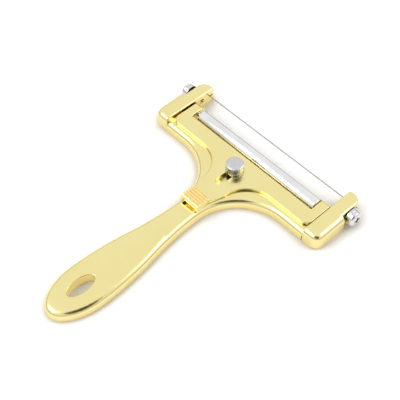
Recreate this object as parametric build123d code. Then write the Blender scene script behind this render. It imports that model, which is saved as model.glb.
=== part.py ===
from build123d import *
import math
import os

# Adjustable wire cheese slicer. Millimetres, +Z up, +Y from the handle end to the wire,
# origin under the middle of the overall length. The gauge plate is modelled fully back.

# Body casting: handle, neck, bed and two cheeks
LENGTH = 145.0                # handle end to cheek fronts
BODY_H = 5.6                  # handle, neck and bed
BODY_EDGE_R = 3.0             # rounding of the top edge
HANDLE_W = 24.4               # at the widest place
HANDLE_END_L = 22.5           # length of the half-elliptical end
NECK_W = 13.0                 # handle at its narrowest
SHOULDER_R = 27.5             # concave arc from neck to bed
HOLE_L = 15.0                 # oval hanging hole
HOLE_W = 7.3
HOLE_SETBACK = 18.8           # handle end to hole centre
HOLE_EDGE_R = 0.3
CHEEK_SPAN = 95.0             # between the inner faces
CHEEK_L = 34.0
CHEEK_H = 8.5
CHEEK_T = 9.5
CHEEK_TOP_R = 3.0             # outer and rear top edges
CHEEK_INNER_R = 0.7           # inner top edge, beside the plate
CHEEK_NOSE_R = 1.2            # top edge round the thinner front part
CHEEK_REAR_R = 4.5            # upright outer corner at the rear
CHEEK_FRONT_R = 5.0           # upright outer corner at the front
RECESS_L = 14.8               # thinner front part that takes the screw head
RECESS_DEPTH = 2.0
BED_L = 11.7                  # front to rear at the cheeks

# Gauge plate with two ears, a thumb block and a guide key below it
PLATE_T = 1.4
PLATE_LIFT = 0.1              # running gap above the bed
PLATE_SIDE_GAP = 0.7          # to each cheek
PLATE_SETBACK = 3.8           # rear edge of the wings behind which the bed rim shows
PLATE_L = 8.9                 # wing, rear edge to front edge
PLATE_TAIL_L = 31.5           # wing's rear edge to the rear end of the thumb block
PLATE_ARC_R = 15.3
PLATE_NECK_W = 15.8
PLATE_CORNER_R = 4.0
PLATE_EDGE_R = 0.4
EAR_REACH = 9.3               # in front of the plate's front edge
EAR_T = 5.2
EAR_FLOOR_GAP = 0.7
EAR_NOSE_R = 3.0              # top front edge, seen from the side
THUMB_L = 7.9
THUMB_W = 11.0
THUMB_RISE = 2.6              # above the plate's top
THUMB_RAMP_L = 0.8
THUMB_REAR_R = 1.2
RIB_COUNT = 5                 # narrow grooves across the top
RIB_PITCH = 1.5
RIB_W = 0.65
RIB_SETBACK = 0.4             # first groove's middle to the block's front
RIB_DEPTH = 0.7
KEY_W = 7.0
KEY_DEPTH = 1.6
KEY_GAP = 0.2                 # on each side of the key and under it
GROOVE_SPARE = 1.2            # groove length behind the thumb block
TRAVEL = 8.0
SLOT_SPARE = 2.0              # slot length beyond the travel
SLOT_GAP = 0.25               # round the lock screw
RELIEF_DEPTH = 1.1            # shallow pocket in the bed under the slot

# Roller on its axle
ROLLER_D = 8.0
ROLLER_WALL = 0.8
ROLLER_PLATE_GAP = 0.8
ROLLER_EAR_GAP = 0.3          # at the right end, against which the roller lies
ROLLER_FLOAT = 2.9            # free space at its left end
ROLLER_EDGE = 0.3
AXLE_D = 2.5
AXLE_Z = 4.6
BUSH_L = 6.0
RUN_GAP = 0.05                # radial, between turning pieces

# Lock screw, its washer and its nut in the bed
LOCK_D = 4.0
LOCK_HEAD_D = 9.1
LOCK_HEAD_H = 4.8
LOCK_CHAMFER = 0.6
LOCK_TIP_GAP = 0.5            # shank end above the rest face
LOCK_SETBACK = 3.0            # screw axis in front of the bed's rear edge
KNURL_COUNT = 28
KNURL_DEPTH = 0.3
DIMPLE_D = 1.1
NUT_AF = 7.0
NUT_H = 2.8
NUT_GAP = 0.1
WASHER_D = 8.4
WASHER_T = 0.5
SEAT_GAP = 0.05               # under a head or washer that can lift

# Cutting wire and its tension screws
WIRE_D = 0.6
WIRE_Z = 4.5
WIRE_SETBACK = 3.2            # from the cheek fronts
WIRE_GAP = 0.05
WIRE_BEND_R = 1.2
WIRE_WRAP = 185.0             # degrees round the screw
WIRE_TAIL_L = 5.4
SLIT_GAP = 0.1                # above and below the wire
MOUTH_SHARE = 0.4             # of the bend radius, by which the slit flares outside
TENSION_D = 3.0
TENSION_SETBACK = 8.9         # screw axis from the cheek fronts
TENSION_TIP_GAP = 1.0         # screw end inside the cheek's inner face
TENSION_HEAD_D = 8.2
TENSION_HEAD_H = 2.6
TENSION_WASHER_D = 8.6
TENSION_WASHER_T = 1.5
DRIVE_W = 1.0                 # arm of the cross recess
DRIVE_L = 4.0
DRIVE_DEPTH = 1.1

# Derived places
Y_FRONT = LENGTH / 2
Y_END = -LENGTH / 2
Y_BED = Y_FRONT - CHEEK_L
Y_BED_FRONT = Y_BED + BED_L
X_INNER = CHEEK_SPAN / 2
X_OUTER = X_INNER + CHEEK_T
X_RECESS = X_OUTER - RECESS_DEPTH
Y_RECESS = Y_FRONT - RECESS_L
Z_PLATE = BODY_H + PLATE_LIFT
Z_PLATE_TOP = Z_PLATE + PLATE_T
X_PLATE = X_INNER - PLATE_SIDE_GAP
X_EAR = X_PLATE - EAR_T
Y_PLATE = Y_BED + PLATE_SETBACK
Y_PLATE_FRONT = Y_PLATE + PLATE_L
Y_EAR_FRONT = Y_PLATE_FRONT + EAR_REACH
Y_ROLLER = Y_PLATE_FRONT + ROLLER_PLATE_GAP + ROLLER_D / 2
X_ROLLER_LEFT = -X_EAR + ROLLER_FLOAT
X_ROLLER_RIGHT = X_EAR - ROLLER_EAR_GAP
Y_LOCK = Y_BED + LOCK_SETBACK
SLOT_W = LOCK_D + 2 * SLOT_GAP
Y_SLOT = Y_LOCK - TRAVEL - SLOT_SPARE
Y_THUMB = Y_PLATE - PLATE_TAIL_L
Y_WIRE = Y_FRONT - WIRE_SETBACK
Y_TENSION = Y_FRONT - TENSION_SETBACK
X_WIRE_END = X_RECESS + WIRE_GAP + WIRE_D / 2
X_TENSION_WASHER = X_WIRE_END + WIRE_D / 2 + WIRE_GAP
X_TENSION_HEAD = X_TENSION_WASHER + TENSION_WASHER_T
Z_LOCK_WASHER = Z_PLATE_TOP + SEAT_GAP
Z_LOCK_HEAD = Z_LOCK_WASHER + WASHER_T


def mirrored(right):
    """The given piece and its twin across the middle plane."""
    return right + mirror(right, about=Plane.YZ)


def cylinder_x(radius, x0, x1, y, z):
    """A cylinder along X between two places."""
    return Pos((x0 + x1) / 2, y, z) * Rot(0, 90, 0) * Cylinder(radius, x1 - x0)


def box_between(x0, x1, y0, y1, z0, z1):
    return Pos((x0 + x1) / 2, (y0 + y1) / 2, (z0 + z1) / 2) * Box(x1 - x0, y1 - y0, z1 - z0)


def swell_arcs(x0, y0, x1, y1):
    """Two equal tangent arcs between upright tangents, from a narrow to a wide place."""
    xm, ym = (x0 + x1) / 2, (y0 + y1) / 2
    return [TangentArc((x0, y0), (xm, ym), tangent=(0, y1 - y0)),
            TangentArc((x1, y1), (xm, ym), tangent=(0, y0 - y1))]


def slot_shape(z0, z1):
    """Round-ended slot round the lock screw, with room behind it for the travel."""
    slot = box_between(-SLOT_W / 2, SLOT_W / 2, Y_SLOT, Y_LOCK, z0, z1)
    for y in (Y_SLOT, Y_LOCK):
        slot += Pos(0, y, (z0 + z1) / 2) * Cylinder(SLOT_W / 2, z1 - z0)
    return slot


def handle_and_bed():
    """Flat casting under everything: oval handle end, waisted neck, bed across the cheeks."""
    neck, wide = NECK_W / 2, HANDLE_W / 2
    y_wide = Y_END + HANDLE_END_L
    y_neck = Y_BED - SHOULDER_R
    arc_x = neck + SHOULDER_R
    side = SHOULDER_R * math.sqrt(0.5)
    half = swell_arcs(neck, y_neck, wide, y_wide)
    half += [
        EllipticalCenterArc((0, y_wide), wide, HANDLE_END_L, start_angle=270, arc_size=90),
        ThreePointArc((neck, y_neck), (arc_x - side, y_neck + side), (arc_x, Y_BED)),
        Line((arc_x, Y_BED), (X_INNER, Y_BED)),
        Line((X_INNER, Y_BED), (X_INNER, Y_BED_FRONT)),
        Line((X_INNER, Y_BED_FRONT), (0, Y_BED_FRONT)),
        Line((0, Y_BED_FRONT), (0, Y_END)),
    ]
    right = extrude(make_face(Wire(half)), BODY_H)
    flat = mirrored(right)
    rim = [edge for edge in flat.edges().group_by(Axis.Z)[-1]
           if edge.center().Y < Y_BED_FRONT - BED_L / 2 and abs(edge.center().X) < X_INNER - 1]
    return fillet(rim, BODY_EDGE_R)


def cheek():
    """Right cheek: thick and rounded at the rear, thinner at the front where the screw head sits."""
    rear = box_between(X_INNER, X_OUTER, Y_BED, Y_RECESS, 0, CHEEK_H)
    corner = rear.edges().filter_by(Axis.Z).group_by(Axis.X)[-1].sort_by(Axis.Y)[0]
    rear = fillet(corner, CHEEK_REAR_R)
    soft = [edge for edge in rear.edges().group_by(Axis.Z)[-1]
            if edge.center().X > X_INNER + 0.01 and edge.center().Y < Y_RECESS - 0.01]
    rear = fillet(soft, CHEEK_TOP_R)
    nose = box_between(X_INNER, X_RECESS, Y_RECESS, Y_FRONT, 0, CHEEK_H)
    corner = nose.edges().filter_by(Axis.Z).group_by(Axis.Y)[-1].sort_by(Axis.X)[-1]
    nose = fillet(corner, CHEEK_FRONT_R)
    soft = [edge for edge in nose.edges().group_by(Axis.Z)[-1]
            if edge.center().X > X_INNER + 0.01 and edge.center().Y > Y_RECESS + 0.01]
    block = rear + fillet(soft, CHEEK_NOSE_R)
    inner = [edge for edge in block.edges().group_by(Axis.Z)[-1] if edge.center().X < X_INNER + 0.01]
    return fillet(inner, CHEEK_INNER_R)


def body_casting():
    casting = handle_and_bed() + mirrored(cheek())
    hole = extrude(Pos(0, Y_END + HOLE_SETBACK) * Ellipse(HOLE_W / 2, HOLE_L / 2), BODY_H)
    casting -= hole
    hole_rim = [edge for edge in casting.edges().group_by(Axis.Z)[0] + casting.edges()
                if edge.geom_type == GeomType.ELLIPSE
                and abs(edge.length - Ellipse(HOLE_W / 2, HOLE_L / 2).edge().length) < 0.01]
    casting = fillet(hole_rim, HOLE_EDGE_R)
    groove_w = KEY_W + 2 * KEY_GAP
    groove_z = BODY_H - KEY_DEPTH + PLATE_LIFT - KEY_GAP
    casting -= box_between(-groove_w / 2, groove_w / 2, Y_THUMB - GROOVE_SPARE,
                           Y_THUMB + THUMB_L + TRAVEL + KEY_GAP, groove_z, BODY_H)
    casting -= slot_shape(BODY_H - RELIEF_DEPTH, BODY_H)
    casting -= Pos(0, Y_LOCK, BODY_H / 2) * Cylinder(LOCK_D / 2 + RUN_GAP, BODY_H)
    casting -= extrude(Pos(0, Y_LOCK) * RegularPolygon(NUT_AF / 2 + NUT_GAP, 6, major_radius=False),
                       NUT_H + 2 * NUT_GAP)
    slit = box_between(X_INNER, X_OUTER, Y_WIRE, Y_FRONT, WIRE_Z - WIRE_D / 2 - SLIT_GAP,
                       WIRE_Z + WIRE_D / 2 + SLIT_GAP)
    slit += cylinder_x(WIRE_D / 2 + SLIT_GAP, X_INNER, X_OUTER, Y_WIRE, WIRE_Z)
    slit += Pos(X_RECESS, Y_WIRE, WIRE_Z) * Sphere(WIRE_D / 2 + SLIT_GAP + WIRE_BEND_R * MOUTH_SHARE)
    casting -= mirrored(slit)
    casting -= mirrored(cylinder_x(TENSION_D / 2 + RUN_GAP, X_INNER, X_OUTER, Y_TENSION, WIRE_Z))
    return casting


def plate_outline():
    neck, thumb = PLATE_NECK_W / 2, THUMB_W / 2
    y_arc = Y_PLATE - PLATE_ARC_R
    side = PLATE_ARC_R * math.sqrt(0.5)
    arc_x = neck + PLATE_ARC_R
    y_block = Y_THUMB + THUMB_L
    half = [
        Line((0, Y_THUMB), (thumb, Y_THUMB)),
        Line((thumb, Y_THUMB), (thumb, y_block)),
        Line((thumb, y_block), (neck, y_arc)),
        ThreePointArc((neck, y_arc), (arc_x - side, y_arc + side), (arc_x, Y_PLATE)),
        Line((arc_x, Y_PLATE), (X_PLATE, Y_PLATE)),
        Line((X_PLATE, Y_PLATE), (X_PLATE, Y_EAR_FRONT)),
        Line((X_PLATE, Y_EAR_FRONT), (X_EAR, Y_EAR_FRONT)),
        Line((X_EAR, Y_EAR_FRONT), (X_EAR, Y_PLATE_FRONT)),
        Line((X_EAR, Y_PLATE_FRONT), (0, Y_PLATE_FRONT)),
        Line((0, Y_PLATE_FRONT), (0, Y_THUMB)),
    ]
    return make_face(Wire(half))


def thumb_block():
    """Raised block at the plate's rear, ramped at its front, with grooves across its top."""
    z_top = Z_PLATE_TOP + THUMB_RISE
    y_front = Y_THUMB + THUMB_L
    side = Polyline((Y_THUMB, Z_PLATE), (y_front + THUMB_RAMP_L, Z_PLATE),
                    (y_front + THUMB_RAMP_L, Z_PLATE_TOP), (y_front, z_top), (Y_THUMB, z_top), close=True)
    block = extrude(Plane.YZ * make_face(side), THUMB_W / 2, both=True)
    rear = block.edges().filter_by(Axis.X).group_by(Axis.Y)[0].sort_by(Axis.Z)[-1]
    block = fillet(rear, THUMB_REAR_R)
    half_w = THUMB_W / 2
    for i in range(RIB_COUNT):
        y = y_front - RIB_SETBACK - i * RIB_PITCH
        block -= box_between(-half_w, half_w, y - RIB_W / 2, y + RIB_W / 2, z_top - RIB_DEPTH, z_top)
    return block


def gauge_plate():
    right = extrude(plate_outline(), PLATE_T, dir=(0, 0, 1)).moved(Location((0, 0, Z_PLATE)))
    ear = box_between(X_EAR, X_PLATE, Y_PLATE_FRONT, Y_EAR_FRONT, EAR_FLOOR_GAP, Z_PLATE)
    plate = mirrored(right + ear)
    corners = [edge for edge in plate.edges().filter_by(Axis.Z)
               if abs(abs(edge.center().X) - X_PLATE) < 0.01 and edge.center().Y < Y_PLATE + 0.01]
    plate = fillet(corners, PLATE_CORNER_R)
    noses = [edge for edge in plate.edges().filter_by(Axis.X).group_by(Axis.Z)[-1]
             if edge.center().Y > Y_EAR_FRONT - 0.01]
    plate = fillet(noses, EAR_NOSE_R)
    top = [edge for edge in plate.edges().group_by(Axis.Z)[-1]
           if edge.center().Y > Y_THUMB + THUMB_L + THUMB_RAMP_L
           and abs(edge.center().Y - Y_EAR_FRONT + EAR_NOSE_R) > 0.01]
    plate = fillet(top, PLATE_EDGE_R)
    plate += thumb_block()
    z_key = Z_PLATE - KEY_DEPTH
    plate += box_between(-KEY_W / 2, KEY_W / 2, Y_THUMB, Y_THUMB + THUMB_L, z_key, Z_PLATE)
    plate -= slot_shape(Z_PLATE, Z_PLATE_TOP)
    return plate - mirrored(cylinder_x(AXLE_D / 2, X_EAR, X_PLATE, Y_ROLLER, AXLE_Z))


def roller_tube():
    ends = X_ROLLER_LEFT, X_ROLLER_RIGHT
    tube = chamfer(cylinder_x(ROLLER_D / 2, *ends, Y_ROLLER, AXLE_Z).edges(), ROLLER_EDGE)
    return tube - cylinder_x(ROLLER_D / 2 - ROLLER_WALL, *ends, Y_ROLLER, AXLE_Z)


def roller_bush(x0):
    bush = cylinder_x(ROLLER_D / 2 - ROLLER_WALL, x0, x0 + BUSH_L, Y_ROLLER, AXLE_Z)
    return bush - cylinder_x(AXLE_D / 2 + RUN_GAP, x0, x0 + BUSH_L, Y_ROLLER, AXLE_Z)


def roller_axle():
    return cylinder_x(AXLE_D / 2, -X_PLATE, X_PLATE, Y_ROLLER, AXLE_Z)


def lock_screw():
    """Knurled thumb head and threaded shank in one turned piece, dimpled on top."""
    head = Pos(0, 0, LOCK_HEAD_H / 2) * Cylinder(LOCK_HEAD_D / 2, LOCK_HEAD_H)
    cutter = Pos(LOCK_HEAD_D / 2, 0, LOCK_HEAD_H / 2) * Rot(0, 0, 45) * Box(
        KNURL_DEPTH * math.sqrt(2), KNURL_DEPTH * math.sqrt(2), LOCK_HEAD_H)
    head -= PolarLocations(0, KNURL_COUNT) * cutter
    cone = Cone(LOCK_HEAD_D / 2 + LOCK_HEAD_H - LOCK_CHAMFER, LOCK_HEAD_D / 2 - LOCK_CHAMFER, LOCK_HEAD_H)
    head &= Pos(0, 0, LOCK_HEAD_H / 2) * cone
    head -= Pos(0, 0, LOCK_HEAD_H) * Sphere(DIMPLE_D / 2)
    shank_l = Z_LOCK_HEAD - LOCK_TIP_GAP
    head += Pos(0, 0, -shank_l / 2) * Cylinder(LOCK_D / 2, shank_l)
    return Pos(0, Y_LOCK, Z_LOCK_HEAD) * head


def lock_washer():
    ring = Cylinder(WASHER_D / 2, WASHER_T) - Cylinder(LOCK_D / 2 + RUN_GAP, WASHER_T)
    return Pos(0, Y_LOCK, Z_LOCK_WASHER + WASHER_T / 2) * ring


def lock_nut():
    nut = extrude(RegularPolygon(NUT_AF / 2, 6, major_radius=False), NUT_H)
    nut -= Pos(0, 0, NUT_H / 2) * Cylinder(LOCK_D / 2 + RUN_GAP, NUT_H)
    return Pos(0, Y_LOCK, NUT_GAP) * nut


def wire_path():
    """Straight across, round each cheek's outer edge, then hooked round the tension screw."""
    wrap_r = TENSION_D / 2 + WIRE_GAP + WIRE_D / 2
    reach = Y_WIRE - Y_TENSION
    touch = math.degrees(math.acos(wrap_r / reach))

    def on_wrap(angle, x):
        a = math.radians(angle)
        return Vector(x, Y_TENSION + wrap_r * math.cos(a), WIRE_Z + wrap_r * math.sin(a))

    def heading(angle):
        a = math.radians(angle)
        return Vector(0, -math.sin(a), math.cos(a))

    corner = Vector(X_WIRE_END, Y_WIRE, WIRE_Z)
    away = heading(touch)
    bend_in = corner - Vector(WIRE_BEND_R, 0, 0)
    bend_out = corner + away * WIRE_BEND_R
    bend_mid = corner + (away - Vector(1, 0, 0)) * WIRE_BEND_R * (1 - math.sqrt(0.5))
    last = touch + WIRE_WRAP
    tail = on_wrap(last, X_WIRE_END)
    right = [ThreePointArc(bend_in, bend_mid, bend_out),
             Line(bend_out, on_wrap(touch, X_WIRE_END)),
             ThreePointArc(on_wrap(touch, X_WIRE_END), on_wrap(touch + WIRE_WRAP / 2, X_WIRE_END), tail),
             Line(tail, tail + heading(last) * WIRE_TAIL_L)]
    left_end = [mirror(edge, about=Plane.YZ).edge() for edge in right]
    across = Line(bend_in - Vector(2 * bend_in.X, 0, 0), bend_in)
    return Wire([across] + right + left_end)


def cutting_wire():
    path = wire_path()
    section = Plane(origin=path @ 0, z_dir=path % 0) * Circle(WIRE_D / 2)
    wire = sweep(section, path=path)
    exact = math.pi * (WIRE_D / 2) ** 2 * path.length
    print("wire length %.2f, volume %.3f of %.3f, bend %.2f, wrap %.2f" % (
        path.length, wire.volume, exact, WIRE_BEND_R, TENSION_D / 2 + WIRE_GAP + WIRE_D / 2))
    return wire


def tension_screw():
    """Right pan-head screw along X, with a cross recess."""
    head = cylinder_x(TENSION_HEAD_D / 2, X_TENSION_HEAD, X_TENSION_HEAD + TENSION_HEAD_H, Y_TENSION, WIRE_Z)
    head = fillet(head.edges().group_by(Axis.X)[-1], TENSION_HEAD_H * 0.6)
    face_x = X_TENSION_HEAD + TENSION_HEAD_H
    for size in ((DRIVE_L, DRIVE_W), (DRIVE_W, DRIVE_L)):
        head -= Pos(face_x - DRIVE_DEPTH / 2, Y_TENSION, WIRE_Z) * Box(DRIVE_DEPTH, *size)
    return head + cylinder_x(TENSION_D / 2, X_INNER + TENSION_TIP_GAP, X_TENSION_HEAD, Y_TENSION, WIRE_Z)


def tension_washer():
    ends = X_TENSION_WASHER, X_TENSION_HEAD
    ring = cylinder_x(TENSION_WASHER_D / 2, *ends, Y_TENSION, WIRE_Z)
    return ring - cylinder_x(TENSION_D / 2 + RUN_GAP, *ends, Y_TENSION, WIRE_Z)


def left(piece):
    return mirror(piece, about=Plane.YZ)


pieces = {
    "body_casting": body_casting(),
    "gauge_plate": gauge_plate(),
    "roller_tube": roller_tube(),
    "roller_bush_left": roller_bush(X_ROLLER_LEFT),
    "roller_bush_right": roller_bush(X_ROLLER_RIGHT - BUSH_L),
    "roller_axle": roller_axle(),
    "lock_screw": lock_screw(),
    "lock_washer": lock_washer(),
    "lock_nut": lock_nut(),
    "cutting_wire": cutting_wire(),
    "tension_screw_right": tension_screw(),
    "tension_screw_left": left(tension_screw()),
    "tension_washer_right": tension_washer(),
    "tension_washer_left": left(tension_washer()),
}

os.makedirs("parts", exist_ok=True)
for name, shape in pieces.items():
    export_step(shape, "parts/%s.step" % name)
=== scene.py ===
import math

import bmesh
import bpy
from bpy.props import FloatProperty, FloatVectorProperty, IntProperty, PointerProperty
from mathutils import Matrix, Vector


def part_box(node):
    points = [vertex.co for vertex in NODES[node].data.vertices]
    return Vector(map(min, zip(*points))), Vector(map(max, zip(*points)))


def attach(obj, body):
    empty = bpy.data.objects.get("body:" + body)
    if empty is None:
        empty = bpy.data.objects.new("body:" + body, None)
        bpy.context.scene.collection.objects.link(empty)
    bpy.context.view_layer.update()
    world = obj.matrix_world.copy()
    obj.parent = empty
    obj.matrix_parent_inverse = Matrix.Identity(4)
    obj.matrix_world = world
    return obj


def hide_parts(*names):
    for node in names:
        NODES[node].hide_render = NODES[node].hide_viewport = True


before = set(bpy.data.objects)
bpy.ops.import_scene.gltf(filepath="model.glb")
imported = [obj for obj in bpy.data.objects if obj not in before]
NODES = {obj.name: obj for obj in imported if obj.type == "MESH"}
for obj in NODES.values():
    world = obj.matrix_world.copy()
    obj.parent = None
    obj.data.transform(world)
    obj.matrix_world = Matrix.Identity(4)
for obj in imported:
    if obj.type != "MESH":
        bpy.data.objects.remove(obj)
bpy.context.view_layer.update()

bl_info = {
    "name": "Wire Cheese Slicer Finish",
    "version": (1, 0, 0),
    "blender": (4, 5, 0),
    "location": "3D View > Sidebar > Cheese Slicer",
    "description": "Finishes the packed cheese slicer: "
                   "gold casting, roller, knob, screws, wire and studio",
    "category": "Mesh",
}

MM = 0.001


def grey(level):
    """A neutral colour."""
    return (level, level, level, 1.0)


# Colour sockets of the Mix node, which share their names with its other sockets
MIX_FIRST, MIX_SECOND, MIX_RESULT = 6, 7, 2

# Noise on the metals: features to the metre, and detail
PATCHES = (70.0, 4.0)
SMUDGES = (420.0, 5.0)
EDGE_SPOTS = (900.0, 3.0)
GRAIN_DETAIL = 3.0
# The part of the noise that a pattern uses, and how much of each pattern shows
PATCH_BAND, PATCH_SHARE = (0.35, 0.65), (0.0, 0.35)
SPOT_BAND, SPOT_SHARE = (0.3, 0.7), (0.25, 0.9)
SMUDGE_BAND = (0.3, 0.7)
# Edge wear and the painted edge highlight fade between these cosines of the edge's turn
WEAR_AND_HIGHLIGHT_SAMPLES, WEAR_AND_HIGHLIGHT_BAND = 6, (0.78, 0.98)
# Painted recess shade fades between these shares of open sky
PAINTED_SHADE_SAMPLES, PAINTED_SHADE_BAND = 8, (0.25, 0.85)

# Nylon: clouds of two tones, scuffs that change the gloss, and fine pits
CLOUDS, SCUFFS, PITS = (300.0, 3.0), (1500.0, 2.0), (2500.0, 3.0)
SCUFF_BAND, SCUFF_ROUGHNESS = (0.3, 0.7), (0.38, 0.55)
NYLON_MILK, NYLON_CREAM = (0.80, 0.79, 0.73, 1.0), (0.70, 0.68, 0.60, 1.0)

# Faces that meet at more than this many degrees keep a sharp edge
CREASE = 32.0
KNURL_CREASE = 12.0

# Distances within which points are one, and within which they lie on the knob's rim
MERGE_DISTANCE = 1e-7
RIM_TOLERANCE = 1e-6

# Roller: rounded rims, and steps round it
ROLLER_RIM = 0.3 * MM
RIM_ANGLES = (0, 30, 60, 90)
ROLLER_STEPS = 96

# Lock screw's thread, and the share of its root at which the ridge's foot is sunk in the shank
THREAD_CREST, THREAD_ROOT, THREAD_PITCH = 2.0 * MM, 1.68 * MM, 0.7 * MM
THREAD_START, THREAD_RUN_OUT = 0.5 * MM, 0.6 * MM
THREAD_SINK = 0.96
THREAD_STEPS = 20
# Lock screw's tip: share of the root that is flat, and height of its chamfer
TIP_SHARE, TIP_CHAMFER = 0.7, 0.35 * MM

# Lock screw's head: rows of knurl points, and below, in millimetres, the plain bands round them
KNURL_ROWS = 7
KNURL_CLEAR_LOW, KNURL_CLEAR_HIGH = 0.45, 0.75
# In from the rim and up from the underside, then in from the rim and down from the top
UNDER_CHAMFER = ((0.45, 0.0), (0.28, 0.12))
CROWN = ((0.06, 0.52), (0.22, 0.26), (0.55, 0.05), (0.8, 0.0))
# Out from the middle and down from the top
DIMPLE = ((0.95, 0.0), (0.72, 0.05), (0.5, 0.3), (0.0, 0.45))

# Steps round the floor and the flag
DISC_SEGMENTS = 64

# Floor: how far it lies under the slicer, its tones, and the warm painted shade where the slicer
# stands
FLOOR_DROP = 0.00005
FLOOR_PATCHES, FLOOR_TONES = 6.0, (grey(0.80), grey(0.79))
FLOOR_SHADE_REACH, FLOOR_SHADE_SAMPLES = 0.024, 16
FLOOR_SHADE_BAND = (0.45, 0.94)
FLOOR_SHADE_TINT = (1.0, 0.80, 0.52, 1.0)
# Floor's own glow, a painted light, in its painted shade and in the open, seen directly and in the
# metal
FLOOR_LIFT_DIRECT = (0.08, 0.50)
FLOOR_LIFT_MIRRORED = (0.36, 0.50)

# Light tent: colours near the table and overhead, and the rise over which they blend
TENT_LOW, TENT_HIGH = (0.42, 0.40, 0.35, 1.0), grey(0.97)
TENT_RISE = (0.03, 0.40)
# Room light that falls on the slicer, and the flag's dark cloth
ROOM = grey(0.42)
FLAG_CLOTH = (0.085, 0.075, 0.05, 1.0)

# Name, degrees round from the camera, degrees up, width and height in metres
SOFTBOXES = (("right", 97.0, 41.0, 0.46, 0.44), ("left", -80.0, 50.0, 0.66, 0.46))
# Camera sensor in millimetres
SENSOR_WIDTH = 36.0


def add_node(tree, kind, **settings):
    """A shader node with the given attributes set."""
    node = tree.nodes.new(kind)
    for name, value in settings.items():
        setattr(node, name, value)
    return node


def wire_up(tree, source, target):
    """Links an output to an input, or writes a plain value on the input."""
    if isinstance(source, bpy.types.NodeSocket):
        tree.links.new(source, target)
    else:
        target.default_value = source


def object_pattern(tree, stretch):
    """Object coordinates in metres, stretched along each axis."""
    mapping = add_node(tree, "ShaderNodeMapping")
    mapping.inputs["Scale"].default_value = stretch
    place = add_node(tree, "ShaderNodeTexCoord")
    tree.links.new(place.outputs["Object"], mapping.inputs["Vector"])
    return mapping.outputs["Vector"]


def noise(tree, scale, detail=2.0, stretch=(1, 1, 1)):
    """Noise with so many features to the metre."""
    texture = add_node(tree, "ShaderNodeTexNoise")
    texture.inputs["Scale"].default_value = scale
    texture.inputs["Detail"].default_value = detail
    tree.links.new(object_pattern(tree, stretch), texture.inputs["Vector"])
    return texture.outputs["Fac"]


def remap(tree, value, band, share):
    """Maps a value from one range to another, clamped, with eased ends."""
    node = add_node(tree, "ShaderNodeMapRange", interpolation_type="SMOOTHSTEP")
    for name, setting in zip(("From Min", "From Max", "To Min", "To Max"), (*band, *share)):
        node.inputs[name].default_value = setting
    wire_up(tree, value, node.inputs["Value"])
    return node.outputs["Result"]


def blend_colours(tree, factor, first, second):
    """The first colour at 0, the second at 1."""
    node = add_node(tree, "ShaderNodeMix", data_type="RGBA")
    wire_up(tree, factor, node.inputs["Factor"])
    wire_up(tree, first, node.inputs[MIX_FIRST])
    wire_up(tree, second, node.inputs[MIX_SECOND])
    return node.outputs[MIX_RESULT]


def calculate(tree, operation, first, second):
    """One step of arithmetic on two values."""
    node = add_node(tree, "ShaderNodeMath", operation=operation)
    wire_up(tree, first, node.inputs[0])
    wire_up(tree, second, node.inputs[1])
    return node.outputs[0]


def edge_wear_and_highlight(tree, radius):
    """1 on edges that fingers and cloths have rubbed, and that are lightened as a painted
    highlight; 0 on flat faces.
    """
    bevel = add_node(tree, "ShaderNodeBevel", samples=WEAR_AND_HIGHLIGHT_SAMPLES)
    bevel.inputs["Radius"].default_value = radius
    turn = add_node(tree, "ShaderNodeVectorMath", operation="DOT_PRODUCT")
    tree.links.new(bevel.outputs["Normal"], turn.inputs[0])
    tree.links.new(add_node(tree, "ShaderNodeNewGeometry").outputs["Normal"], turn.inputs[1])
    return remap(tree, turn.outputs["Value"], WEAR_AND_HIGHLIGHT_BAND, (1.0, 0.0))


def painted_recess_shade(tree, distance):
    """Painted shade: 1 in grooves, gaps and inside corners, 0 in the open."""
    occlusion = add_node(tree, "ShaderNodeAmbientOcclusion", samples=PAINTED_SHADE_SAMPLES)
    occlusion.inputs["Distance"].default_value = distance
    return remap(tree, occlusion.outputs["AO"], PAINTED_SHADE_BAND, (1.0, 0.0))


def bump(tree, height, depth):
    """Normals of a surface with this pattern pressed into it."""
    node = add_node(tree, "ShaderNodeBump")
    node.inputs["Strength"].default_value = 1.0
    node.inputs["Distance"].default_value = depth
    tree.links.new(height, node.inputs["Height"])
    return node.outputs["Normal"]


def blank_material(name):
    """A material with an empty node tree, and the tree."""
    material = bpy.data.materials.new(name)
    material.use_nodes = True
    material.node_tree.nodes.clear()
    return material, material.node_tree


def show(tree, surface, output_kind="ShaderNodeOutputMaterial"):
    """Puts a shader on the tree's output."""
    tree.links.new(surface, add_node(tree, output_kind).inputs["Surface"])


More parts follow.
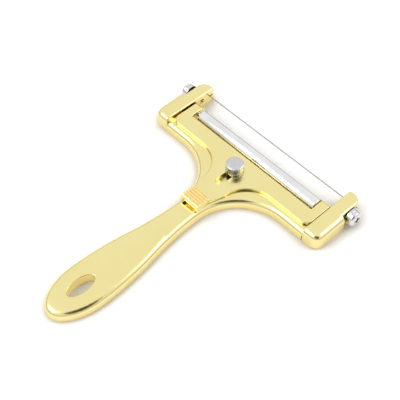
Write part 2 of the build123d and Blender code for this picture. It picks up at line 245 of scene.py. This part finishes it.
def metal(name, colour, dark_tone_and_shade, roughness, spread, grain, grain_depth,
          wear_and_highlight=None, wear_and_highlight_radius=0.4 * MM, painted_shade_colour=None, painted_shade_reach=1.2 * MM):
    """A metal: two mottled tones, uneven roughness, fine grain, edges lightened for wear and as a
    painted highlight, and painted shade in recesses.

    The grain is in features to the metre along each axis, and every depth, radius and reach in
    metres.
    """
    material, tree = blank_material(name)
    shader = add_node(tree, "ShaderNodeBsdfPrincipled")
    shader.inputs["Metallic"].default_value = 1.0
    patches = remap(tree, noise(tree, *PATCHES), PATCH_BAND, PATCH_SHARE)
    tone = blend_colours(tree, patches, colour, dark_tone_and_shade)
    # Painted shade: the tone darkens to the shade colour, or else to the dark tone, in grooves,
    # gaps and inside corners
    tone = blend_colours(tree, painted_recess_shade(tree, painted_shade_reach), tone, painted_shade_colour or dark_tone_and_shade)
    # Edges lighten to this colour, for rubbed wear and as a painted highlight
    if wear_and_highlight:
        spots = remap(tree, noise(tree, *EDGE_SPOTS), SPOT_BAND, SPOT_SHARE)
        lightened_edge = calculate(tree, "MULTIPLY", edge_wear_and_highlight(tree, wear_and_highlight_radius), spots)
        tone = blend_colours(tree, lightened_edge, tone, wear_and_highlight)
    tree.links.new(tone, shader.inputs["Base Color"])
    uneven = remap(tree, noise(tree, *SMUDGES), SMUDGE_BAND,
                   (roughness - spread, roughness + spread))
    tree.links.new(uneven, shader.inputs["Roughness"])
    grained = bump(tree, noise(tree, 1.0, GRAIN_DETAIL, grain), grain_depth)
    tree.links.new(grained, shader.inputs["Normal"])
    show(tree, shader.outputs["BSDF"])
    return material


def nylon():
    """Natural nylon of the bushes: milky, slightly uneven and matt."""
    material, tree = blank_material("bush_nylon")
    shader = add_node(tree, "ShaderNodeBsdfPrincipled")
    shader.inputs["IOR"].default_value = 1.53
    shader.inputs["Subsurface Weight"].default_value = 0.15
    shader.inputs["Subsurface Scale"].default_value = 1.0 * MM
    tone = blend_colours(tree, noise(tree, *CLOUDS), NYLON_MILK, NYLON_CREAM)
    tree.links.new(tone, shader.inputs["Base Color"])
    uneven = remap(tree, noise(tree, *SCUFFS), SCUFF_BAND, SCUFF_ROUGHNESS)
    tree.links.new(uneven, shader.inputs["Roughness"])
    pitted = bump(tree, noise(tree, *PITS), depth=0.02 * MM)
    tree.links.new(pitted, shader.inputs["Normal"])
    show(tree, shader.outputs["BSDF"])
    return material


def dress(node_names, material):
    """Gives carried-over solids their finish."""
    for name in node_names:
        slots = NODES[name].data.materials
        slots.clear()
        slots.append(material)


def finished_mesh(name, shape, material):
    """Turns a bmesh into a mesh with its material, and frees the bmesh."""
    mesh = bpy.data.meshes.new(name)
    shape.to_mesh(mesh)
    shape.free()
    mesh.materials.append(material)
    return mesh


def place_object(name, data):
    """An object in the scene that shows the given mesh, lamp or camera."""
    piece = bpy.data.objects.new(name, data)
    bpy.context.scene.collection.objects.link(piece)
    return piece


def link_piece(name, shape, material, body, node, crease=CREASE):
    """Puts a finished shape in the scene, smoothed, riding on its body in place of its solid."""
    bmesh.ops.recalc_face_normals(shape, faces=shape.faces)
    piece = place_object(name, finished_mesh(name, shape, material))
    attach(piece, body)
    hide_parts(node)
    piece.data.polygons.foreach_set("use_smooth", [True] * len(piece.data.polygons))
    piece.data.set_sharp_from_angle(angle=math.radians(crease))
    return piece


def turned(shape, points, steps):
    """Turns a chain of (radius, height) points once round Z into a closed skin."""
    verts = [shape.verts.new((radius, 0.0, height)) for radius, height in points]
    chain = verts + [shape.edges.new(pair) for pair in zip(verts, verts[1:])]
    bmesh.ops.spin(shape, geom=chain, cent=(0, 0, 0), axis=(0, 0, 1), dvec=(0, 0, 0),
                   angle=2 * math.pi, steps=steps, use_merge=True, use_duplicate=False)
    bmesh.ops.remove_doubles(shape, verts=shape.verts, dist=MERGE_DISTANCE)


def screw_thread(shape, length):
    """A triangular ridge wound along Z, up a shank of this length."""
    turns = (length - THREAD_RUN_OUT) / THREAD_PITCH - 1
    sunk = THREAD_ROOT * THREAD_SINK
    corners = [(sunk, THREAD_START), (sunk, THREAD_START + THREAD_PITCH),
               (THREAD_CREST, THREAD_START + THREAD_PITCH / 2)]
    verts = [shape.verts.new((radius, 0.0, height)) for radius, height in corners]
    ridge = [*verts, shape.faces.new(verts)]
    bmesh.ops.spin(shape, geom=ridge, cent=(0, 0, 0), axis=(0, 0, 1),
                   dvec=(0, 0, THREAD_PITCH / THREAD_STEPS), angle=2 * math.pi * turns,
                   steps=int(THREAD_STEPS * turns), use_merge=False, use_duplicate=False)


def knob_profile(radius, under, top, rows):
    """The lock screw's outline from its tip to the dimple in its head."""
    return [
        (0.0, 0.0), (THREAD_ROOT * TIP_SHARE, 0.0),
        (THREAD_ROOT, TIP_CHAMFER), (THREAD_ROOT, under),
        *[(radius - inset * MM, under + rise * MM) for inset, rise in UNDER_CHAMFER],
        *[(radius, height) for height in rows],
        *[(radius - inset * MM, top - drop * MM) for inset, drop in CROWN],
        *[(out * MM, top - drop * MM) for out, drop in DIMPLE]]


def press_knurl(shape, radius, rows, teeth, depth):
    """Presses in every other point of the rim's grid, which leaves a diamond knurl."""
    pressed = []
    for vert in shape.verts:
        if abs(math.hypot(vert.co.x, vert.co.y) - radius) > RIM_TOLERANCE:
            continue
        row = round((vert.co.z - rows[0]) / (rows[1] - rows[0]))
        step = round(math.atan2(vert.co.y, vert.co.x) / (math.pi / teeth))
        if (row + step) % 2:
            pressed.append(vert)
    shrink = 1 - depth / radius
    bmesh.ops.scale(shape, vec=(shrink, shrink, 1.0), verts=pressed)


class CastingSizes(bpy.types.PropertyGroup):
    """Looks of the gold-plated casting and gauge plate."""
    gold: FloatVectorProperty(
        name="Gold", description="Reflection colour of the plating", subtype="COLOR", size=4,
        min=0.0, max=1.0, default=(0.90, 0.80, 0.385, 1.0))
    deep_gold: FloatVectorProperty(
        name="Deep Gold", description="Second tone of the plating, in soft patches",
        subtype="COLOR", size=4, min=0.0, max=1.0, default=(0.88, 0.75, 0.32, 1.0))
    # Painted shade: the colour the plating darkens to in grooves, gaps and inside corners
    painted_shade_colour: FloatVectorProperty(
        name="Recess", description="Colour in grooves, gaps and inside corners",
        subtype="COLOR", size=4, min=0.0, max=1.0, default=(0.52, 0.34, 0.10, 1.0))
    # Edge colour of the plating, for rubbed wear and as a painted highlight
    lightened_edge: FloatVectorProperty(
        name="Rubbed Edge", description="Colour where the plating is thin on the edges",
        subtype="COLOR", size=4, min=0.0, max=1.0, default=(0.93, 0.87, 0.62, 1.0))
    roughness: FloatProperty(
        name="Roughness", description="Roughness of the plated surface", min=0.02, max=1.0,
        default=0.22)


class SteelSizes(bpy.types.PropertyGroup):
    """Looks and detail of the roller, knob and screws."""
    roller: FloatVectorProperty(
        name="Roller Steel", description="Colour of the roller tube", subtype="COLOR", size=4,
        min=0.0, max=1.0, default=(0.84, 0.85, 0.84, 1.0))
    knob: FloatVectorProperty(
        name="Knob Steel", description="Colour of the lock screw", subtype="COLOR", size=4,
        min=0.0, max=1.0, default=(0.64, 0.64, 0.645, 1.0))
    bright: FloatVectorProperty(
        name="Bright Plating", description="Colour of the tension screws", subtype="COLOR", size=4,
        min=0.0, max=1.0, default=(0.80, 0.80, 0.81, 1.0))
    teeth: IntProperty(
        name="Knurl Teeth", description="Knurl points round the knob", min=12, max=80, default=26)
    knurl_depth: FloatProperty(
        name="Knurl Depth", description="Depth of the knurl", unit="LENGTH", min=0.0, max=0.001,
        default=0.00042)


class StudioSizes(bpy.types.PropertyGroup):
    """Camera, lamps and floor."""
    lens: FloatProperty(
        name="Lens", description="Focal length", unit="CAMERA", min=10.0, max=300.0, default=72.0)
    azimuth: FloatProperty(
        name="Azimuth", description="Camera direction round the slicer", unit="ROTATION",
        default=math.radians(47.62))
    elevation: FloatProperty(
        name="Elevation", description="Camera height above the horizon", unit="ROTATION",
        default=math.radians(52.35))
    roll: FloatProperty(
        name="Roll", description="Turn of the camera about its line of sight", unit="ROTATION",
        default=math.radians(-0.57))
    distance: FloatProperty(
        name="Distance", description="Camera to target", unit="LENGTH", min=0.05, max=5.0,
        default=0.390)
    target: FloatVectorProperty(
        name="Target", description="Point the camera looks at", subtype="TRANSLATION", size=3,
        default=(-0.00217, 0.0202, 0.0))
    flag: FloatVectorProperty(
        name="Flag", description="Middle of the dark disc beside the camera",
        subtype="TRANSLATION", size=3, default=(0.20, -0.098, 0.208))
    flag_radius: FloatProperty(
        name="Flag Radius", description="Radius of the dark disc", unit="LENGTH", min=0.02,
        max=1.0, default=0.13)
    lamp_level: FloatProperty(
        name="Lamp Level", description="Brightness of the two softboxes seen from the slicer",
        min=0.0, max=20.0, default=2.9)
    lamp_distance: FloatProperty(
        name="Softbox Distance", description="Softbox to slicer", unit="LENGTH", min=0.2, max=5.0,
        default=0.95)
    floor_size: FloatProperty(
        name="Floor Size", description="Radius of the floor", unit="LENGTH", min=0.5, max=50.0,
        default=6.0)


class SLICER_OT_gold_casting(bpy.types.Operator):
    """Plate the body casting and the gauge plate in gold"""
    bl_idname = "slicer.gold_casting"
    bl_label = "Gold Casting"

    def execute(self, context):
        gold = context.scene.slicer_casting
        # The plating gets painted shade in its grooves, gaps and inside corners
        finish = metal("gold_plating", colour=gold.gold, dark_tone_and_shade=gold.deep_gold,
                       roughness=gold.roughness, spread=0.025,
                       grain=(260.0, 260.0, 260.0), grain_depth=0.000014,
                       wear_and_highlight=gold.lightened_edge, painted_shade_colour=gold.painted_shade_colour, painted_shade_reach=1.5 * MM)
        dress(["body_casting", "gauge_plate"], finish)
        return {"FINISHED"}


class SLICER_OT_roller(bpy.types.Operator):
    """Turn the roller tube and finish its bushes and axle"""
    bl_idname = "slicer.roller"
    bl_label = "Roller"

    def execute(self, context):
        low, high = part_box("roller_tube")
        radius = (high.z - low.z) / 2
        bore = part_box("roller_bush_left")
        inner = (bore[1].z - bore[0].z) / 2
        length = high.x - low.x
        ends = [(inner, 0.0)]
        for angle in map(math.radians, RIM_ANGLES):
            ends.append((radius - ROLLER_RIM + ROLLER_RIM * math.sin(angle),
                         ROLLER_RIM - ROLLER_RIM * math.cos(angle)))
        chain = ends + [(r, length - h) for r, h in reversed(ends)]
        shape = bmesh.new()
        turned(shape, chain + [chain[0]], ROLLER_STEPS)
        middle = Matrix.Translation((low.x, (low.y + high.y) / 2, (low.z + high.z) / 2))
        lying = Matrix.Rotation(math.pi / 2, 4, "Y")
        bmesh.ops.transform(shape, matrix=middle @ lying, verts=shape.verts)
        finish = metal("roller_polish", colour=context.scene.slicer_steel.roller,
                       dark_tone_and_shade=(0.70, 0.69, 0.70, 1.0), roughness=0.11, spread=0.03,
                       grain=(5200.0, 60.0, 60.0), grain_depth=0.000004, wear_and_highlight=grey(0.9))
        piece = link_piece("roller_sleeve", shape, finish, "roller", "roller_tube")
        dress(["roller_axle"],
              metal("drawn_pin", colour=grey(0.66), dark_tone_and_shade=grey(0.4), roughness=0.3, spread=0.08,
                    grain=(120.0, 3000.0, 3000.0), grain_depth=0.00001))
        dress(["roller_bush_left", "roller_bush_right"], nylon())
        return {"FINISHED"}


class SLICER_OT_lock_knob(bpy.types.Operator):
    """Turn the knurled lock screw and finish its washer and nut"""
    bl_idname = "slicer.lock_knob"
    bl_label = "Lock Knob"

    def execute(self, context):
        steel = context.scene.slicer_steel
        low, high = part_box("lock_screw")
        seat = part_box("lock_washer")[1].z
        radius = (high.x - low.x) / 2
        under, top = seat - low.z, high.z - low.z
        first, last = under + KNURL_CLEAR_LOW * MM, top - KNURL_CLEAR_HIGH * MM
        rows = [first + (last - first) * i / (KNURL_ROWS - 1) for i in range(KNURL_ROWS)]
        shape = bmesh.new()
        turned(shape, knob_profile(radius, under, top, rows), 2 * steel.teeth)
        press_knurl(shape, radius, rows, steel.teeth, steel.knurl_depth)
        screw_thread(shape, under)
        middle = ((low.x + high.x) / 2, (low.y + high.y) / 2, low.z)
        bmesh.ops.translate(shape, vec=middle, verts=shape.verts)
        # Painted highlight: the knurl's edges lighten almost to white so they sparkle, and painted
        # shade darkens its grooves to the dark tone
        finish = metal("knob_steel", colour=steel.knob, dark_tone_and_shade=(0.56, 0.56, 0.55, 1.0),
                       roughness=0.36, spread=0.1,
                       grain=(1500.0, 1500.0, 1500.0), grain_depth=0.00015,
                       wear_and_highlight=grey(0.95), wear_and_highlight_radius=0.5 * MM)
        piece = link_piece("lock_knob", shape, finish, "lock_screw", "lock_screw", KNURL_CREASE)
        dress(["lock_washer", "lock_nut"],
              metal("zinc_plating", colour=(0.62, 0.63, 0.65, 1.0), dark_tone_and_shade=grey(0.42),
                    roughness=0.3, spread=0.1,
                    grain=(1400.0, 1400.0, 1400.0), grain_depth=0.00002, wear_and_highlight=grey(0.8)))
        return {"FINISHED"}


class SLICER_OT_tension_screws(bpy.types.Operator):
    """Finish the tension screws and their washers"""
    bl_idname = "slicer.tension_screws"
    bl_label = "Tension Screws"

    def execute(self, context):
        steel = context.scene.slicer_steel
        finish = metal("bright_plating", colour=steel.bright, dark_tone_and_shade=(0.45, 0.45, 0.46, 1.0),
                       roughness=0.14, spread=0.06,
                       grain=(900.0, 900.0, 900.0), grain_depth=0.00002,
                       wear_and_highlight=grey(0.92), wear_and_highlight_radius=0.3 * MM)
        dress(["tension_screw_right", "tension_screw_left",
               "tension_washer_right", "tension_washer_left"], finish)
        return {"FINISHED"}


class SLICER_OT_cutting_wire(bpy.types.Operator):
    """Finish the cutting wire"""
    bl_idname = "slicer.cutting_wire"
    bl_label = "Cutting Wire"

    def execute(self, context):
        dress(["cutting_wire"],
              metal("wire_steel", colour=grey(0.38), dark_tone_and_shade=grey(0.28), roughness=0.4, spread=0.08,
                    grain=(300.0, 6000.0, 6000.0), grain_depth=0.000008))
        return {"FINISHED"}


def white_floor():
    """Pale floor that keeps the slicer's shadow, adds a warm painted shade where the slicer
    stands, and shows as white in camera and in the metal.
    """
    material, tree = blank_material("studio_floor")
    paths = add_node(tree, "ShaderNodeLightPath")
    matt = add_node(tree, "ShaderNodeBsdfDiffuse")
    tone = blend_colours(tree, noise(tree, FLOOR_PATCHES), *FLOOR_TONES)
    tree.links.new(tone, matt.inputs["Color"])
    # Painted shade: within reach of the slicer the floor's glow dims and warms by how little open
    # sky it sees
    corner = add_node(tree, "ShaderNodeAmbientOcclusion", samples=FLOOR_SHADE_SAMPLES)
    corner.inputs["Distance"].default_value = FLOOR_SHADE_REACH
    open_floor = remap(tree, corner.outputs["AO"], FLOOR_SHADE_BAND, (0.0, 1.0))
    lift = add_node(tree, "ShaderNodeEmission")
    tint = blend_colours(tree, open_floor, FLOOR_SHADE_TINT, grey(1.0))
    tree.links.new(tint, lift.inputs["Color"])
    direct = calculate(tree, "MULTIPLY", paths.outputs["Is Camera Ray"],
                       remap(tree, open_floor, (0.0, 1.0), FLOOR_LIFT_DIRECT))
    # Painted light: in the metal the floor glows brightly even in its shade, which lightens the
    # metal's side walls
    mirrored = calculate(tree, "MULTIPLY", paths.outputs["Is Glossy Ray"],
                         remap(tree, open_floor, (0.0, 1.0), FLOOR_LIFT_MIRRORED))
    tree.links.new(calculate(tree, "MAXIMUM", direct, mirrored), lift.inputs["Strength"])
    both = add_node(tree, "ShaderNodeAddShader")
    tree.links.new(matt.outputs[0], both.inputs[0])
    tree.links.new(lift.outputs[0], both.inputs[1])
    show(tree, both.outputs[0])
    return material


def light_tent(world):
    """White tent round the slicer, darker near the table, that only the metal reflects."""
    world.use_nodes = True
    tree = world.node_tree
    tree.nodes.clear()
    height = add_node(tree, "ShaderNodeSeparateXYZ")
    tree.links.new(add_node(tree, "ShaderNodeTexCoord").outputs["Generated"], height.inputs[0])
    tent = blend_colours(tree, remap(tree, height.outputs["Z"], TENT_RISE, (0.0, 1.0)),
                         TENT_LOW, TENT_HIGH)
    paths = add_node(tree, "ShaderNodeLightPath")
    colour = blend_colours(tree, paths.outputs["Is Glossy Ray"], ROOM, tent)
    seen = calculate(tree, "MAXIMUM", paths.outputs["Is Camera Ray"],
                     paths.outputs["Is Transmission Ray"])
    colour = blend_colours(tree, seen, colour, grey(1.0))
    sky = add_node(tree, "ShaderNodeBackground")
    tree.links.new(colour, sky.inputs["Color"])
    show(tree, sky.outputs[0], "ShaderNodeOutputWorld")


def disc(name, radius, material):
    """A flat round object in the scene."""
    shape = bmesh.new()
    bmesh.ops.create_circle(shape, cap_ends=True, radius=radius, segments=DISC_SEGMENTS)
    return place_object(name, finished_mesh(name, shape, material))


def black_flag(place, target, radius):
    """Dark disc beside the camera, which only the metal reflects."""
    material, tree = blank_material("flag_cloth")
    cloth = add_node(tree, "ShaderNodeEmission")
    cloth.inputs["Color"].default_value = FLAG_CLOTH
    show(tree, cloth.outputs[0])
    flag = disc("black_flag", radius, material)
    flag.location = place
    flag.rotation_euler = (target - place).to_track_quat("Z", "Y").to_euler()
    flag.visible_camera = flag.visible_diffuse = False
    flag.visible_shadow = flag.visible_transmission = False


def pointing(azimuth, elevation):
    """Unit vector from the slicer towards a place round it."""
    level = math.cos(elevation)
    return Vector((math.sin(azimuth) * level, -math.cos(azimuth) * level, math.sin(elevation)))


class SLICER_OT_studio(bpy.types.Operator):
    """Set the floor, the light tent, the softboxes and the camera"""
    bl_idname = "slicer.studio"
    bl_label = "Studio"

    def execute(self, context):
        scene = context.scene
        studio = scene.slicer_studio
        target = Vector(studio.target)
        floor = disc("studio_floor", studio.floor_size, white_floor())
        floor.location.z = -FLOOR_DROP
        for name, turn, height, wide, tall in SOFTBOXES:
            lamp = bpy.data.lights.new("softbox_" + name, "AREA")
            lamp.shape = "RECTANGLE"
            lamp.size, lamp.size_y = wide, tall
            lamp.energy = studio.lamp_level * math.pi * wide * tall
            away = pointing(studio.azimuth + math.radians(turn), math.radians(height))
            softbox = place_object("softbox_" + name, lamp)
            softbox.location = target + away * studio.lamp_distance
            softbox.rotation_euler = (-away).to_track_quat("-Z", "Y").to_euler()
        if scene.world is None:
            scene.world = bpy.data.worlds.new("light_tent")
        light_tent(scene.world)
        black_flag(Vector(studio.flag), target, studio.flag_radius)
        lens = bpy.data.cameras.new("product_camera")
        lens.lens = studio.lens
        lens.sensor_width = SENSOR_WIDTH
        away = pointing(studio.azimuth, studio.elevation)
        camera = place_object("product_camera", lens)
        camera.location = target + away * studio.distance
        level = (-away).to_track_quat("-Z", "Y").to_matrix()
        camera.rotation_euler = (level @ Matrix.Rotation(studio.roll, 3, "Z")).to_euler()
        scene.camera = camera
        scene.view_settings.view_transform = "Standard"
        return {"FINISHED"}


class SLICER_PT_panel(bpy.types.Panel):
    """Sizes, colours and steps of the slicer's finish"""
    bl_idname = "SLICER_PT_panel"
    bl_label = "Cheese Slicer"
    bl_space_type = "VIEW_3D"
    bl_region_type = "UI"
    bl_category = "Cheese Slicer"

    def draw(self, context):
        scene = context.scene
        for group in (scene.slicer_casting, scene.slicer_steel, scene.slicer_studio):
            column = self.layout.column(align=True)
            for name in group.__annotations__:
                column.prop(group, name)
        for step in STEPS:
            self.layout.operator(step.bl_idname)


GROUPS = {
    "slicer_casting": CastingSizes,
    "slicer_steel": SteelSizes,
    "slicer_studio": StudioSizes,
}
STEPS = (SLICER_OT_studio, SLICER_OT_gold_casting, SLICER_OT_roller, SLICER_OT_lock_knob,
         SLICER_OT_tension_screws, SLICER_OT_cutting_wire)


def register():
    for kind in (*GROUPS.values(), *STEPS, SLICER_PT_panel):
        bpy.utils.register_class(kind)
    for name, kind in GROUPS.items():
        setattr(bpy.types.Scene, name, PointerProperty(type=kind))


def unregister():
    for name in GROUPS:
        delattr(bpy.types.Scene, name)
    for kind in (SLICER_PT_panel, *reversed(STEPS), *reversed(GROUPS.values())):
        bpy.utils.unregister_class(kind)


def main():
    register()
    bpy.ops.slicer.studio()
    bpy.ops.slicer.gold_casting()
    bpy.ops.slicer.roller()
    bpy.ops.slicer.lock_knob()
    bpy.ops.slicer.tension_screws()
    bpy.ops.slicer.cutting_wire()


if __name__ == "__main__":
    main()
